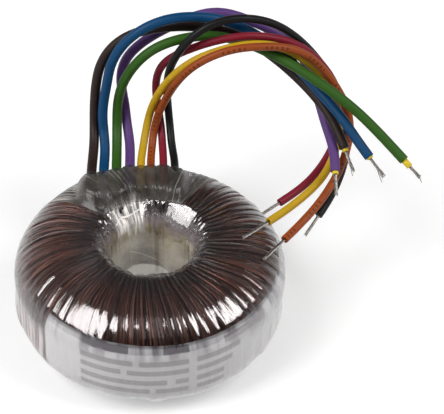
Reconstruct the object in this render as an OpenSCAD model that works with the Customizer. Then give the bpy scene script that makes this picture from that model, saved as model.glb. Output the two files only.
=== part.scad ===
// Toroidal mains transformer: a wound strip core with two primary and two secondary
// windings, insulating tape, a clear film wrap over a printed band, and eight flying leads
// whose joints lie on the upper face under a second piece of film.
// Millimetres. +Z is the axis of the centre hole, z = 0 is the underside, leads leave at +Y.

/* [Core] */
// Outside diameter of the ring of wound steel strip
core_od = 60; // [58:1:76]
// Inside diameter of the strip ring
core_id = 34.6; // [32:0.2:37]
// Width of the strip, which is the height of the ring
core_h = 18; // [14:0.5:24]

/* [Insulating tape] */
// Build of each tape layer on the outer wall and the faces
tape_t = 0.3; // [0.2:0.05:0.6]
// Build of each tape layer in the hole, where its laps crowd together
tape_bore = 0.45; // [0.3:0.05:0.8]

/* [Primary windings] */
// Build of each primary winding on the outer wall
primary_wall = 0.8; // [0.5:0.05:1.2]
// Build of each primary winding on the faces
primary_face = 1.15; // [0.8:0.05:1.6]
// Build of each primary winding in the hole
primary_bore = 1.15; // [0.8:0.05:1.4]

/* [Secondary windings] */
// Build of each secondary winding on the outer wall
secondary_wall = 1.05; // [0.8:0.05:1.5]
// Build of each secondary winding on the faces
secondary_face = 1.5; // [1:0.05:2]
// Build of each secondary winding in the hole
secondary_bore = 1.35; // [1:0.05:1.6]
// Turns that lie side by side in the outer winding
turns = 150; // [100:1:160]
// Depth of the groove between two turns on the outer wall and the faces
groove = 0.35; // [0.1:0.05:0.5]
// Depth of the same groove in the hole, where the turns crowd together
groove_bore = 0.15; // [0.05:0.05:0.3]
// Angle that a turn leans through as it crosses a face
lean = 7; // [0:1:15]
// Angle between the first turn and the last, at the back
start_gap = 3; // [1:0.5:8]

/* [Film wrap] */
// Thickness of the film on the outer wall and the faces
wrap_t = 0.3; // [0.2:0.05:0.6]
// Thickness of the film in the hole, where its laps crowd together
wrap_bore = 0.8; // [0.5:0.05:1.2]
// Room between the outer winding and the film on the wall, where the printed band lies
band_room = 0.4; // [0.3:0.05:0.6]
// Room between the outer winding and the film on the faces
face_room = 0.3; // [0.2:0.05:0.5]

/* [Outline] */
// How far the outer shoulder reaches in from the wall
shoulder_w = 16; // [10:0.5:16.5]
// How far the outer shoulder drops from the face
shoulder_h = 11.4; // [6:0.2:13]
// How far the hole's rounded rim reaches out from the hole's wall
rim_w = 4.5; // [2:0.5:6]
// How far the rim drops from the face down to the hole's straight wall
rim_h = 7.5; // [3:0.5:9]

/* [Printed band] */
// Thickness of the printed band
band_t = 0.1; // [0.05:0.05:0.2]
// Height of the band's lower edge over the base
band_low = 6; // [3:0.5:10]
// Height of the band's upper edge over the base
band_high = 25.2; // [18:0.2:27]
// Direction of the band's left end, seen from the front
band_start = 221; // [190:1:240]
// Angle that the band covers round the wall
band_arc = 155; // [60:1:240]

/* [Leads] */
// Diameter of the four primary leads
primary_lead_d = 2.6; // [2:0.1:2.8]
// Diameter of the four secondary leads
secondary_lead_d = 2.1; // [1.6:0.1:2.3]
// Diameter of the inner insulation of a primary lead
inner_d = 1.7; // [1.2:0.1:1.9]
// Diameter of the bare stranded conductor
conductor_d = 0.9; // [0.6:0.1:1.1]

/* [Joint sleeves] */
// Diameter of the sleeve over a primary lead's joint
primary_sleeve_d = 3.1; // [2.9:0.1:3.2]
// Diameter of the sleeve over a secondary lead's joint
secondary_sleeve_d = 2.5; // [2.4:0.1:2.6]
// Length of each joint sleeve
sleeve_l = 8; // [5:0.5:9]
// Length of the shrunk neck at each end of a sleeve
sleeve_neck = 1; // [0.5:0.1:2]
// How much smaller in diameter a neck is than its sleeve
sleeve_shrink = 0.3; // [0.1:0.1:0.4]

/* [Lead cover] */
// Thickness of the film over the joints
cover_t = 0.35; // [0.2:0.05:0.5]
// Distance of the cover's open mouth in from the outer wall
cover_mouth = 9.8; // [8:0.2:12]
// How far the cover's foot spreads beyond the outermost sleeves
cover_foot = 3.2; // [2:0.2:5]
// Length of the slope from the hole's rim up to the cover's roof
cover_slope = 2.2; // [1:0.1:3]
// Radius that the cover keeps where it hangs between two sleeves
cover_sag = 1.6; // [0.4:0.1:3]

/* [Hidden] */
$fn = 96;

layer_gap = 0.02;       // running clearance between one layer and the next
rest_gap = 0.05;        // clearance between the film and what lies on it or under it
coarse = [4, 2];        // chords in each shoulder and in each rim quarter of the windings
fine = [16, 8];         // the same for the film and the printed band
inner_rings = 45;       // sections round the inside of the outer winding
back = 90;              // direction of the back, where the windings start and end

// Builds over the core so far, layer by layer: on the wall, on a face, in the hole
tape_build = [tape_t, tape_t, tape_bore];
primary_build = [primary_wall, primary_face, primary_bore];
secondary_build = [secondary_wall, secondary_face, secondary_bore];
over_core_tape = tape_build;
over_primary_1 = over_core_tape + primary_build;
over_primary_2 = over_primary_1 + primary_build;
over_inner_tape = over_primary_2 + tape_build;
over_secondary_1 = over_inner_tape + secondary_build;
over_secondary_2 = over_secondary_1 + secondary_build;
under_film = over_secondary_2 + [band_room, face_room, 2 * rest_gap];
over_film = under_film + [wrap_t, wrap_t, wrap_bore];

body_h = core_h + 2 * over_film[1];
hole_r = core_id / 2 - over_film[2];
wall_r = core_od / 2 + over_film[0];
// The shoulder leaves at least a narrow flat crown between itself and the hole's rim
crown = 1.5;
shoulder = [min(shoulder_w, wall_r - hole_r - rim_w - crown), shoulder_h];

// Section of the ring at a given build, as points [radius, height over mid height]. The
// shoulder and the rim grow with the build: the core's corners are sharp
function arc_points(centre, reach, rise, from, steps) =
    [for (i = [0 : steps]) centre + [reach * cos(from + 90 * i / steps),
        rise * sin(from + 90 * i / steps)]];
function section(build, steps) =
    let (wall = core_od / 2 + build[0], hole = core_id / 2 - build[2],
        half = core_h / 2 + build[1],
        reach = shoulder[0] * build[0] / over_film[0],
        drop = shoulder[1] * build[1] / over_film[1],
        rim = [rim_w, rim_h] * build[2] / over_film[2])
    concat(arc_points([wall - reach, half - drop], reach, drop, 0, steps[0]),
        arc_points([hole + rim[0], half - rim[1]], rim[0], rim[1], 90, steps[1]),
        arc_points([hole + rim[0], rim[1] - half], rim[0], rim[1], 180, steps[1]),
        arc_points([wall - reach, drop - half], reach, drop, 270, steps[0]));

module section_at(build, steps) {
    translate([0, body_h / 2])
        polygon(section(build, steps));
}

module layer(under, over, steps) {
    rotate_extrude()
        difference() {
            section_at(over, steps);
            section_at(under + layer_gap * [1, 1, 1], steps);
        }
}

module core() {
    color("#8d9095")
        translate([0, 0, (body_h - core_h) / 2])
            difference() {
                cylinder(h = core_h, d = core_od);
                translate([0, 0, -1])
                    cylinder(h = core_h + 2, d = core_id);
            }
}

module core_insulation() {
    color("#e3d9b0")
        rotate_extrude()
            difference() {
                section_at(over_core_tape, coarse);
                translate([core_id / 2 - layer_gap, (body_h - core_h) / 2 - layer_gap])
                    square([(core_od - core_id) / 2 + 2 * layer_gap, core_h + 2 * layer_gap]);
            }
}

module primary_winding_1() {
    color("#6d3a22") layer(over_core_tape, over_primary_1, coarse);
}

module primary_winding_2() {
    color("#77412a") layer(over_primary_1, over_primary_2, coarse);
}

module interwinding_insulation() {
    color("#e3d9b0") layer(over_primary_2, over_inner_tape, coarse);
}

module secondary_winding_1() {
    color("#5b3020") layer(over_inner_tape, over_secondary_1, coarse);
}

// A point of the section at an angle round the axis. It leans on as the turn runs outwards
function turned(p, angle) =
    let (a = angle + lean * (p[0] - hole_r) / (wall_r - hole_r))
    [p[0] * cos(a), p[0] * sin(a), p[1] + body_h / 2];

// Triangles between two loops of n points each, the second one starting at point b
function band_faces(a, b, n) =
    [for (j = [0 : n - 1], half = [0, 1]) let (k = (j + 1) % n)
        half == 0 ? [a + j, a + k, b + j] : [a + k, b + k, b + j]];

// The outer winding: every turn is a ridge between two grooves, all the way round, and the
// inside is round. The flats of the inside clear the winding below it
module secondary_winding_2() {
    ridge = section(over_secondary_2, coarse);
    valley = section(over_secondary_2 - [groove, groove, groove_bore], coarse);
    flat = cos((360 - start_gap) / inner_rings / 2);
    inside = [for (p = section(over_secondary_1 + 2 * layer_gap * [1, 1, 1], coarse))
        [p[0] > core_id / 2 ? p[0] / flat : p[0], p[1]]];
    first = back + start_gap / 2 - lean;
    span = 360 - start_gap;
    n = len(ridge);
    rings = 2 * turns;
    outer_points = [for (i = [0 : rings], p = i % 2 == 0 ? valley : ridge)
        turned(p, first + span * i / rings)];
    inner_points = [for (i = [0 : inner_rings], p = inside)
        turned(p, first + span * i / inner_rings)];
    m = len(outer_points);
    outer_faces = [for (i = [0 : rings - 1], f = band_faces(i * n, (i + 1) * n, n)) f];
    inner_faces = [for (i = [0 : inner_rings - 1],
        f = band_faces(m + (i + 1) * n, m + i * n, n)) f];
    first_end = band_faces(m, 0, n);
    last_end = band_faces(rings * n, m + inner_rings * n, n);
    color("#4a2c20")
        polyhedron(concat(outer_points, inner_points),
            concat(outer_faces, inner_faces, first_end, last_end), convexity = 6);
}

module label() {
    color("#d9d9d4")
        rotate([0, 0, band_start])
            rotate_extrude(angle = band_arc)
                intersection() {
                    difference() {
                        offset(delta = -layer_gap) section_at(under_film, fine);
                        offset(delta = -layer_gap - band_t) section_at(under_film, fine);
                    }
                    translate([core_od / 2 - core_id / 4, band_low])
                        square([core_od, band_high - band_low]);
                }
}

module outer_wrap() {
    color("#b9bdb8", 0.35)
        rotate_extrude()
            difference() {
                section_at(over_film, fine);
                section_at(under_film, fine);
            }
}

// Each lead: its colour, its diameter, its sleeve's diameter, the middle of its exit as
// [across, behind the wall], its route after the exit as [across, behind the wall, height
// over the upper face], and the lengths of inner insulation and of bare conductor at its
// cut end. The wall's rearmost line is what both are measured from
brown = ["#3f2e27", primary_lead_d, primary_sleeve_d, [-15.5, -14], [
    [-15, -3.5, 3], [-15, 0.5, 6], [-15, 3, 11], [-14.5, 4.5, 18], [-13, 5.5, 25],
    [-8, 6.5, 31], [-0.5, 7.5, 33.5], [8, 8, 34], [16.5, 8.5, 33], [24.5, 8.5, 30],
    [31.5, 5.5, 26.5], [38, 1, 23], [44, -5, 19.5], [48, -10.5, 15.5], [50, -15, 12]], 0.8, 6];
blue = ["#0a5287", primary_lead_d, primary_sleeve_d, [-12.3, -13.3], [
    [-12, -5, 3], [-12.5, -1, 6], [-13, 1.5, 11], [-11.5, 2.5, 19], [-10.5, 3, 26.5],
    [-5.5, 3.5, 34], [2.5, 4.5, 38.5], [11, 5.5, 39], [19.5, 6.5, 37], [26.5, 6.5, 33],
    [33, 4, 29.5], [38.5, 0, 26], [43.5, -5, 22.5], [48.5, -10, 19.5], [52.5, -15, 15.5],
    [56, -19, 12.5]], 0.5, 6];
green = ["#3f7a30", primary_lead_d, primary_sleeve_d, [-9, -12.3], [
    [-9, -3.5, 3], [-9, 0.5, 6], [-9, 3, 11], [-8, 3, 18], [-4.5, 2.5, 25.5], [1, 3, 31],
    [9, 4.5, 33], [17, 5.5, 33], [25, 4, 31.5], [33, 0, 30], [40, -4.5, 28],
    [47, -8.5, 25], [53.5, -12.5, 21.5], [59.5, -17.5, 17.5], [64.5, -22, 14]], 2.2, 4];
violet = ["#6a4590", primary_lead_d, primary_sleeve_d, [-5.5, -11], [
    [-5.5, -2, 3], [-6.5, 2.5, 6], [-7, 6, 10.5], [-8.5, 8, 17], [-6.5, 9.5, 23.5],
    [0, 10.5, 29], [9, 11, 34], [17, 11, 37], [25, 11, 34], [32.5, 10.5, 30.5],
    [38.5, 8.5, 26.5], [42, 5, 21.5], [44, -0.5, 16.5], [45.5, -7, 13.5],
    [47.5, -13.5, 11], [47.5, -19.5, 8]], 0.8, 6];
yellow = ["#dcae22", secondary_lead_d, secondary_sleeve_d, [-2.6, -10.5], [
    [-2, -2.5, 2.5], [-1.3, 0.8, 5.2], [-0.3, 2.8, 9.7], [1.5, 1.8, 15.7],
    [4.8, -0.5, 23.5], [10.5, -1.5, 30], [17.5, -1, 33], [25.5, 0, 34.5], [33, 1, 33],
    [39.5, 1.5, 28.5], [45, 1, 23], [48.5, -0.5, 17], [50, -4, 11], [48.5, -9.5, 6],
    [45.5, -15.5, 3], [40.5, -20.5, 1], [34.5, -26.5, 0.5], [30, -31, 1]], 0, 10];
orange = ["#b5622c", secondary_lead_d, secondary_sleeve_d, [0, -10.1], [
    [0.3, -2.5, 2.2], [0.8, 0.7, 5.3], [2, 1.7, 10.3], [4.2, 0, 17], [7, -3.5, 25.5],
    [12, -4, 31.5], [20.5, -3.5, 35.5], [29.5, -2, 35], [37, -0.5, 33.5], [43, 0, 28.5],
    [48, -1, 22], [52, -3, 15], [52.5, -6.5, 9.5], [50.5, -12.5, 6], [47.5, -18.5, 3.5],
    [43, -24.5, 0.5], [37.5, -30.5, -1.5], [34, -35, -1.5]], 0, 9.5];
red = ["#ab2f46", secondary_lead_d, secondary_sleeve_d, [3.3, -9.9], [
    [3, -1, 2.5], [2.7, 3, 5.5], [1.5, 6, 10.5], [1, 6, 18], [3, 4.5, 25], [8.5, 2.5, 30],
    [16, 1.5, 34], [24, 2, 35.5], [32, 4, 33.5], [39.5, 5.5, 29.5], [45, 5, 24],
    [49, 3.5, 18], [51, 0.5, 11.5], [49, -5, 6], [45, -10.5, 1.5], [40, -16, -0.5],
    [33.5, -21, -1.5]], 0, 6];
black = ["#232326", secondary_lead_d, secondary_sleeve_d, [6.3, -10.8], [
    [5.5, -2.5, 2.5], [5.1, 1.5, 5.5], [4.5, 4, 10.5], [4, 3.5, 18.5], [5, 1, 27],
    [9, 0, 35], [14.5, 1, 39.5], [22, 3, 40.5], [30, 5, 38], [36, 7, 33],
    [41.5, 8.5, 26.5], [46, 8.5, 20], [50, 7, 14], [52, 3, 8.5], [52.5, -3, 3.5],
    [51, -9.5, 0], [47.5, -16, -4], [44, -21, -6]], 0, 7];
primaries = [brown, blue, green, violet];
secondaries = [yellow, orange, red, black];
exit_run = 3.5;         // how far a lead runs straight back out of its sleeve
lead_sides = 8;
lead_rings = 27;
away = [1, -1, 1];      // a direction that no lead takes

function unit(v) = v / norm(v);
function joint_height(lead) = body_h + rest_gap + lead[2] / 2;
function exit_point(lead) = [lead[3][0], wall_r + lead[3][1], joint_height(lead)];
function route(lead) = concat([exit_point(lead), exit_point(lead) + [0, exit_run, 0]],
    [for (p = lead[4]) p + [0, wall_r, body_h]]);
function end_point(lead) = let (p = route(lead)) p[len(p) - 1];
function end_way(lead) = let (p = route(lead)) unit(p[len(p) - 1] - p[len(p) - 2]);

// Smooth curve through the route: it starts and ends straight, at the end points
function knot(p, i) = i < 0 ? 2 * p[0] - p[1]
    : i >= len(p) ? 2 * p[len(p) - 1] - p[len(p) - 2] : p[i];
function blend(p, i, w) =
    w[0] * knot(p, i - 1) + w[1] * knot(p, i) + w[2] * knot(p, i + 1) + w[3] * knot(p, i + 2);
function curve_at(p, u) = let (i = min(floor(u), len(p) - 2), t = u - i)
    blend(p, i, [pow(1 - t, 3), 3 * t * t * t - 6 * t * t + 4,
        1 + 3 * t + 3 * t * t - 3 * t * t * t, t * t * t]) / 6;
function way_at(p, u) = let (i = min(floor(u), len(p) - 2), t = u - i)
    unit(blend(p, i, [-pow(1 - t, 2), 3 * t * t - 4 * t, 1 + 2 * t - 3 * t * t, t * t]));

module lead_tube(lead) {
    p = route(lead);
    last = len(p) - 1;
    ring_points = [for (i = [0 : lead_rings - 1])
        let (u = last * i / (lead_rings - 1), way = way_at(p, u),
            side = unit(cross(way, away)), top = cross(side, way))
        for (k = [0 : lead_sides - 1])
            curve_at(p, u) + lead[1] / 2 * (cos(360 * k / lead_sides) * side
                + sin(360 * k / lead_sides) * top)];
    walls = [for (i = [0 : lead_rings - 2],
        f = band_faces(i * lead_sides, (i + 1) * lead_sides, lead_sides)) f];
    first_end = [[for (k = [lead_sides - 1 : -1 : 0]) k]];
    last_end = [[for (k = [0 : lead_sides - 1]) (lead_rings - 1) * lead_sides + k]];
    color(lead[0])
        polyhedron(ring_points, concat(walls, first_end, last_end), convexity = 8);
}

// Places what follows at a point, with its z axis along a direction
module along(point, way) {
    translate(point)
        rotate([0, acos(way[2]), atan2(way[1], way[0])])
            children();
}

module joint_sleeve(lead) {
    r = lead[2] / 2;
    neck = r - sleeve_shrink / 2;
    color("#2b2b2d")
        translate(exit_point(lead))
            rotate([90, 0, 0])
                rotate_extrude()
                    polygon([[0, 0], [neck, 0], [r, sleeve_neck],
                        [r, sleeve_l - sleeve_neck], [neck, sleeve_l], [0, sleeve_l]]);
}

module inner_insulation(lead) {
    color("#d8c65a")
        along(end_point(lead), end_way(lead))
            cylinder(h = lead[5], d = inner_d);
}

module conductor(lead) {
    color("#b9b4ab")
        along(end_point(lead) + lead[5] * end_way(lead), end_way(lead))
            cylinder(h = lead[6], d = conductor_d);
}

// Distance from the axis to the nearest corner of the joint sleeves
nearest_joint = min([for (lead = concat(primaries, secondaries))
    norm([abs(lead[3][0]) - lead[2] / 2, wall_r + lead[3][1] - sleeve_l])]);
cover_lead = 1.9;       // how far before that corner the cover starts to rise
foremost = min([for (lead = primaries) lead[3][1]]);

// Outline of the lead cover across the joints: a roof that follows the sleeves and a
// sloping side on the left and on the right, down to the upper face and into it
module cover_outline() {
    left = brown[3][0] - primary_sleeve_d / 2;
    right = black[3][0] + secondary_sleeve_d / 2;
    eaves_left = body_h + primary_sleeve_d - cover_t;
    eaves_right = body_h + secondary_sleeve_d - cover_t;
    foot = body_h - 4;
    offset(r = -cover_sag, $fn = 24) offset(r = cover_sag, $fn = 24) {
        for (lead = concat(primaries, secondaries))
            translate([lead[3][0], joint_height(lead)])
                circle(r = lead[2] / 2 + rest_gap + cover_t, $fn = 24);
        polygon([[left - cover_foot, foot - 6], [left - cover_foot, foot],
            [left + cover_t, eaves_left], [right - cover_t, eaves_right],
            [right + cover_foot, foot], [right + cover_foot, foot - 6]]);
    }
}

// Solid over the joints, from the rim of the hole to the mouth, grown inwards by a wall
module cover_block(wall) {
    front = wall_r + foremost - sleeve_l - cover_slope + wall;
    mouth = wall_r - cover_mouth + wall;
    start = nearest_joint - cover_lead + wall;
    roof = body_h + primary_sleeve_d + 1;
    intersection() {
        translate([0, core_od, 0])
            rotate([90, 0, 0])
                linear_extrude(core_od)
                    offset(delta = -wall) cover_outline();
        rotate([90, 0, 90])
            linear_extrude(2 * core_od, center = true)
                polygon([[front, body_h / 2], [front, body_h], [front + cover_slope, roof],
                    [core_od, roof], [core_od, body_h / 2]]);
        rotate_extrude()
            polygon([[start, body_h / 2], [start, body_h], [start + cover_slope, roof],
                [mouth, roof], [mouth, body_h / 2]]);
    }
}

module lead_cover() {
    color("#a9b0a6", 0.35)
        difference() {
            cover_block(0);
            cover_block(cover_t);
            rotate_extrude()
                offset(delta = rest_gap) section_at(over_film, fine);
        }
}

core();
core_insulation();
primary_winding_1();
primary_winding_2();
interwinding_insulation();
secondary_winding_1();
secondary_winding_2();
label();
outer_wrap();
joint_sleeve(brown);  // joint_sleeve_brown
joint_sleeve(blue);  // joint_sleeve_blue
joint_sleeve(green);  // joint_sleeve_green
joint_sleeve(violet);  // joint_sleeve_violet
joint_sleeve(yellow);  // joint_sleeve_yellow
joint_sleeve(orange);  // joint_sleeve_orange
joint_sleeve(red);  // joint_sleeve_red
joint_sleeve(black);  // joint_sleeve_black
lead_cover();
lead_tube(brown);  // lead_brown
lead_tube(blue);  // lead_blue
lead_tube(green);  // lead_green
lead_tube(violet);  // lead_violet
lead_tube(yellow);  // lead_yellow
lead_tube(orange);  // lead_orange
lead_tube(red);  // lead_red
lead_tube(black);  // lead_black
inner_insulation(brown);  // inner_insulation_brown
inner_insulation(blue);  // inner_insulation_blue
inner_insulation(green);  // inner_insulation_green
inner_insulation(violet);  // inner_insulation_violet
conductor(brown);  // conductor_brown
conductor(blue);  // conductor_blue
conductor(green);  // conductor_green
conductor(violet);  // conductor_violet
conductor(yellow);  // conductor_yellow
conductor(orange);  // conductor_orange
conductor(red);  // conductor_red
conductor(black);  // conductor_black
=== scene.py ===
# %% [markdown]
# # A toroidal transformer, dressed from its CAD solids
# The real part is a ring of steel strip, wound all the way round with enamelled copper wire,
# wrapped in clear film over a printed band, with eight stiff coloured leads that leave at the back.
# The CAD model gives every size. This lesson keeps that model as a fixed frame and builds the
# looks around it: wires as real tubes, film as a thin wrinkled skin, leads as swept tubes.

# %% Load the fixed frame
import math

import bpy
import numpy as np
from mathutils import Matrix, Vector


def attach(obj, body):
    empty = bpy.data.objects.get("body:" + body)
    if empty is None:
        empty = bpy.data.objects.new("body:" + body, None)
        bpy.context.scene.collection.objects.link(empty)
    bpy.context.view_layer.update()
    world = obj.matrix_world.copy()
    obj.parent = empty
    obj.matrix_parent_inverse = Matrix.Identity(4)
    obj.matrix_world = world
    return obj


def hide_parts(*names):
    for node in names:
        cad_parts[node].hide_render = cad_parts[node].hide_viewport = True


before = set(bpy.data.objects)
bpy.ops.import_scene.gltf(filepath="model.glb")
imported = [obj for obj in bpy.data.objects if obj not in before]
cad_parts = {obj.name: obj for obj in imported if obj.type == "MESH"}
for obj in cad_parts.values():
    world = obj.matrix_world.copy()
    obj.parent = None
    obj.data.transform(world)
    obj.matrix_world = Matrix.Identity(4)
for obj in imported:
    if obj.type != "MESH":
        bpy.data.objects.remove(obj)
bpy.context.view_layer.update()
MM = 0.001

# %% [markdown]
# ## Camera
# A long lens held well back keeps the ring's ellipse calm. The camera looks down at about
# 44 degrees from the front, and its aim lies to the right of the ring, so the arch of the leads
# has room. A matrix built from three directions leaves no doubt about roll.

# %% Camera
SENSOR_MM, LENS_MM = 36.0, 140.58
camera_place = Vector((0, -0.3210, 0.3309))
camera_aim = Vector((0.0185, 0.0131, 0.0288))
camera_top = Vector((0, 0.7009, 0.7133))
forward = (camera_aim - camera_place).normalized()
right = forward.cross(camera_top).normalized()
upward = right.cross(forward)
camera_data = bpy.data.cameras.new("camera")
camera_data.lens, camera_data.sensor_width = LENS_MM, SENSOR_MM
camera_data.clip_start, camera_data.clip_end = 0.01, 10
camera = bpy.data.objects.new("camera", camera_data)
bpy.context.scene.collection.objects.link(camera)
turn = Matrix((right, upward, -forward)).transposed()
camera.matrix_world = Matrix.Translation(camera_place) @ turn.to_4x4()
bpy.context.scene.camera = camera
print("camera looks down", round(math.degrees(math.asin(-forward.z)), 1), "degrees")

# %% [markdown]
# ## Mesh helpers
# Nearly every piece here is a grid of points bent into a ring, a tube or a sheet, so one
# helper turns a grid into faces. It can close the grid along its rows, its columns or both.
# A thin skin is two such grids, one just inside the other, joined along their open edges.

# %% Points and faces
def add_mesh(name, points_mm, faces):
    """A smooth mesh object from points in millimetres, riding on the part's one body."""
    mesh = bpy.data.meshes.new(name)
    mesh.from_pydata((np.asarray(points_mm, float) * MM).tolist(), [], faces)
    mesh.polygons.foreach_set("use_smooth", [True] * len(mesh.polygons))
    mesh.update()
    piece = bpy.data.objects.new(name, mesh)
    bpy.context.scene.collection.objects.link(piece)
    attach(piece, "root")
    return piece


def grid_faces(rows, cols, close_rows=False, close_cols=False, start=0):
    """Quads of a grid whose points are stored row by row."""
    r = np.arange(rows if close_rows else rows - 1)
    c = np.arange(cols if close_cols else cols - 1)
    r, c = np.meshgrid(r, c, indexing="ij")
    r2, c2 = (r + 1) % rows, (c + 1) % cols
    quads = np.stack([r * cols + c, r * cols + c2, r2 * cols + c2, r2 * cols + c], -1)
    return (quads.reshape(-1, 4) + start).tolist()


def around(angle, radius, height):
    """Points at an angle in degrees round the ring's axis, a radius and a height."""
    turned = np.radians(angle)
    return np.stack([radius * np.cos(turned), radius * np.sin(turned), height + 0 * turned], -1)


def unit(v):
    return v / np.maximum(np.linalg.norm(v, axis=-1, keepdims=True), 1e-12)


def rise(value, start, stop):
    """0 at start and 1 at stop, straight between and flat beyond."""
    return np.clip((value - start) / (stop - start), 0, 1)


# %% Thin skins
def add_skin(name, sides, close_rows=False, close_cols=False):
    """A closed thin skin from the grids of its outer and its inner side."""
    rows, cols = sides[0].shape[:2]
    count = rows * cols
    faces = [face[::-1] for face in grid_faces(rows, cols, close_rows, close_cols)]
    faces += grid_faces(rows, cols, close_rows, close_cols, count)
    if close_rows and not close_cols:
        for i in range(rows):
            j = (i + 1) % rows
            for c in (0, cols - 1):
                quad = [i * cols + c, j * cols + c, count + j * cols + c, count + i * cols + c]
                faces.append(quad if c else quad[::-1])
    if not close_rows:
        border = ([i * cols for i in range(rows)] + [(rows - 1) * cols + j for j in range(1, cols)]
                  + [i * cols + cols - 1 for i in range(rows - 2, -1, -1)]
                  + list(range(cols - 2, 0, -1)))
        faces += [[a, b, b + count, a + count] for a, b in zip(border, border[1:] + border[:1])]
    print(name, "faces:", len(faces))
    return add_mesh(name, np.concatenate(sides).reshape(-1, 3), faces)


# %% [markdown]
# ## Tubes
# A lead is a circle carried along a line. The circle must not twist on the way, so each
# ring takes the last ring's side direction and only tips it square to the new direction.

# %% Tubes along a line
def square_to(way):
    """A direction square to another. A steep one is crossed with X, any other with Z."""
    helper = np.array([0.0, 0.0, 1.0]) if abs(way[2]) < 0.9 else np.array([1.0, 0.0, 0.0])
    return unit(np.cross(way, helper))


def ring_directions(path):
    """Two directions square to the path at each of its points, without twist."""
    way = unit(np.gradient(path, axis=0))
    side = np.zeros_like(path)
    side[0] = square_to(way[0])
    for i in range(1, len(path)):
        side[i] = unit(side[i - 1] - way[i] * np.dot(side[i - 1], way[i]))
    return side, np.cross(way, side)


def circles(sides, side, up):
    """Circles of radius 1, one for each pair of directions."""
    angle = (np.arange(sides) * 2 * math.pi / sides)[:, None]
    return np.cos(angle) * side[..., None, :] + np.sin(angle) * up[..., None, :]


def tube_faces(rings, sides, start=0):
    """Faces of a tube, with a cap on each end."""
    last = start + (rings - 1) * sides
    caps = [list(range(start, start + sides))[::-1], list(range(last, last + sides))]
    return grid_faces(rings, sides, close_cols=True, start=start) + caps


# %% [markdown]
# ## The leads' routes
# Each lead runs straight back out of its joint, climbs over the back edge and bends over to
# the right in one arch. They are short and fairly stiff hook-up leads, so the arch stands by
# itself. A uniform cubic B-spline through the given points gives curves without kinks.
# Points are millimetres: across, back, and height over the upper face.

# %% Routes of the eight leads
FACE_Z, EXIT_RUN = 31.0, 3.5
PRIMARY_D, SECONDARY_D, PRIMARY_SLEEVE_D, SECONDARY_SLEEVE_D, REST_GAP = 2.6, 2.1, 3.1, 2.5, 0.05
ROUTES = {
    "brown": [(-15.5, 21), (-15, 31.5, 3), (-15, 35.5, 6), (-15, 38, 11), (-14.5, 39.5, 18),
              (-13, 40.5, 25), (-8, 41.5, 31), (-0.5, 42.5, 33.5), (8, 43, 34), (16.5, 43.5, 33),
              (24.5, 43.5, 30), (31.5, 40.5, 26.5), (38, 36, 23), (44, 30, 19.5), (48, 24.5, 15.5),
              (50, 20, 12)],
    "blue": [(-12.3, 21.7), (-12, 30, 3), (-12.5, 34, 6), (-13, 36.5, 11), (-11.5, 37.5, 19),
             (-10.5, 38, 26.5), (-5.5, 38.5, 34), (2.5, 39.5, 38.5), (11, 40.5, 39),
             (19.5, 41.5, 37), (26.5, 41.5, 33), (33, 39, 29.5), (38.5, 35, 26), (43.5, 30, 22.5),
             (48.5, 25, 19.5), (52.5, 20, 15.5), (56, 16, 12.5)],
    "green": [(-9, 22.7), (-9, 31.5, 3), (-9, 35.5, 6), (-9, 38, 11), (-8, 38, 18),
              (-4.5, 37.5, 25.5), (1, 38, 31), (9, 39.5, 33), (17, 40.5, 33), (25, 39, 31.5),
              (33, 35, 30), (40, 30.5, 28), (47, 26.5, 25), (53.5, 22.5, 21.5), (59.5, 17.5, 17.5),
              (64.5, 13, 14)],
    "violet": [(-5.5, 24), (-5.5, 33, 3), (-6.5, 37.5, 6), (-7, 41, 10.5), (-8.5, 43, 17),
               (-6.5, 44.5, 23.5), (0, 45.5, 29), (9, 46, 34), (17, 46, 37), (25, 46, 34),
               (32.5, 45.5, 30.5), (38.5, 43.5, 26.5), (42, 40, 21.5), (44, 34.5, 16.5),
               (45.5, 28, 13.5), (47.5, 21.5, 11), (47.5, 15.5, 8)],
    "yellow": [(-2.6, 24.5), (-2, 32.5, 2.5), (-1.3, 35.8, 5.2), (-0.3, 37.8, 9.7),
               (1.5, 36.8, 15.7), (4.8, 34.5, 23.5), (10.5, 33.5, 30), (17.5, 34, 33),
               (25.5, 35, 34.5), (33, 36, 33), (39.5, 36.5, 28.5), (45, 36, 23), (48.5, 34.5, 17),
               (50, 31, 11), (48.5, 25.5, 6), (45.5, 19.5, 3), (40.5, 14.5, 1), (34.5, 8.5, 0.5),
               (30, 4, 1)],
    "orange": [(0, 24.9), (0.3, 32.5, 2.2), (0.8, 35.7, 5.3), (2, 36.7, 10.3), (4.2, 35, 17),
               (7, 31.5, 25.5), (12, 31, 31.5), (20.5, 31.5, 35.5), (29.5, 33, 35),
               (37, 34.5, 33.5), (43, 35, 28.5), (48, 34, 22), (52, 32, 15), (52.5, 28.5, 9.5),
               (50.5, 22.5, 6), (47.5, 16.5, 3.5), (43, 10.5, 0.5), (37.5, 4.5, -1.5), (34, 0, -1.5)],
    "red": [(3.3, 25.1), (3, 34, 2.5), (2.7, 38, 5.5), (1.5, 41, 10.5), (1, 41, 18), (3, 39.5, 25),
            (8.5, 37.5, 30), (16, 36.5, 34), (24, 37, 35.5), (32, 39, 33.5), (39.5, 40.5, 29.5),
            (45, 40, 24), (49, 38.5, 18), (51, 35.5, 11.5), (49, 30, 6), (45, 24.5, 1.5),
            (40, 19, -0.5), (33.5, 14, -1.5)],
    "black": [(6.3, 24.2), (5.5, 32.5, 2.5), (5.1, 36.5, 5.5), (4.5, 39, 10.5), (4, 38.5, 18.5),
              (5, 36, 27), (9, 35, 35), (14.5, 36, 39.5), (22, 38, 40.5), (30, 40, 38),
              (36, 42, 33), (41.5, 43.5, 26.5), (46, 43.5, 20), (50, 42, 14), (52, 38, 8.5),
              (52.5, 32, 3.5), (51, 25.5, 0), (47.5, 19, -4), (44, 14, -6)],
}
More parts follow.
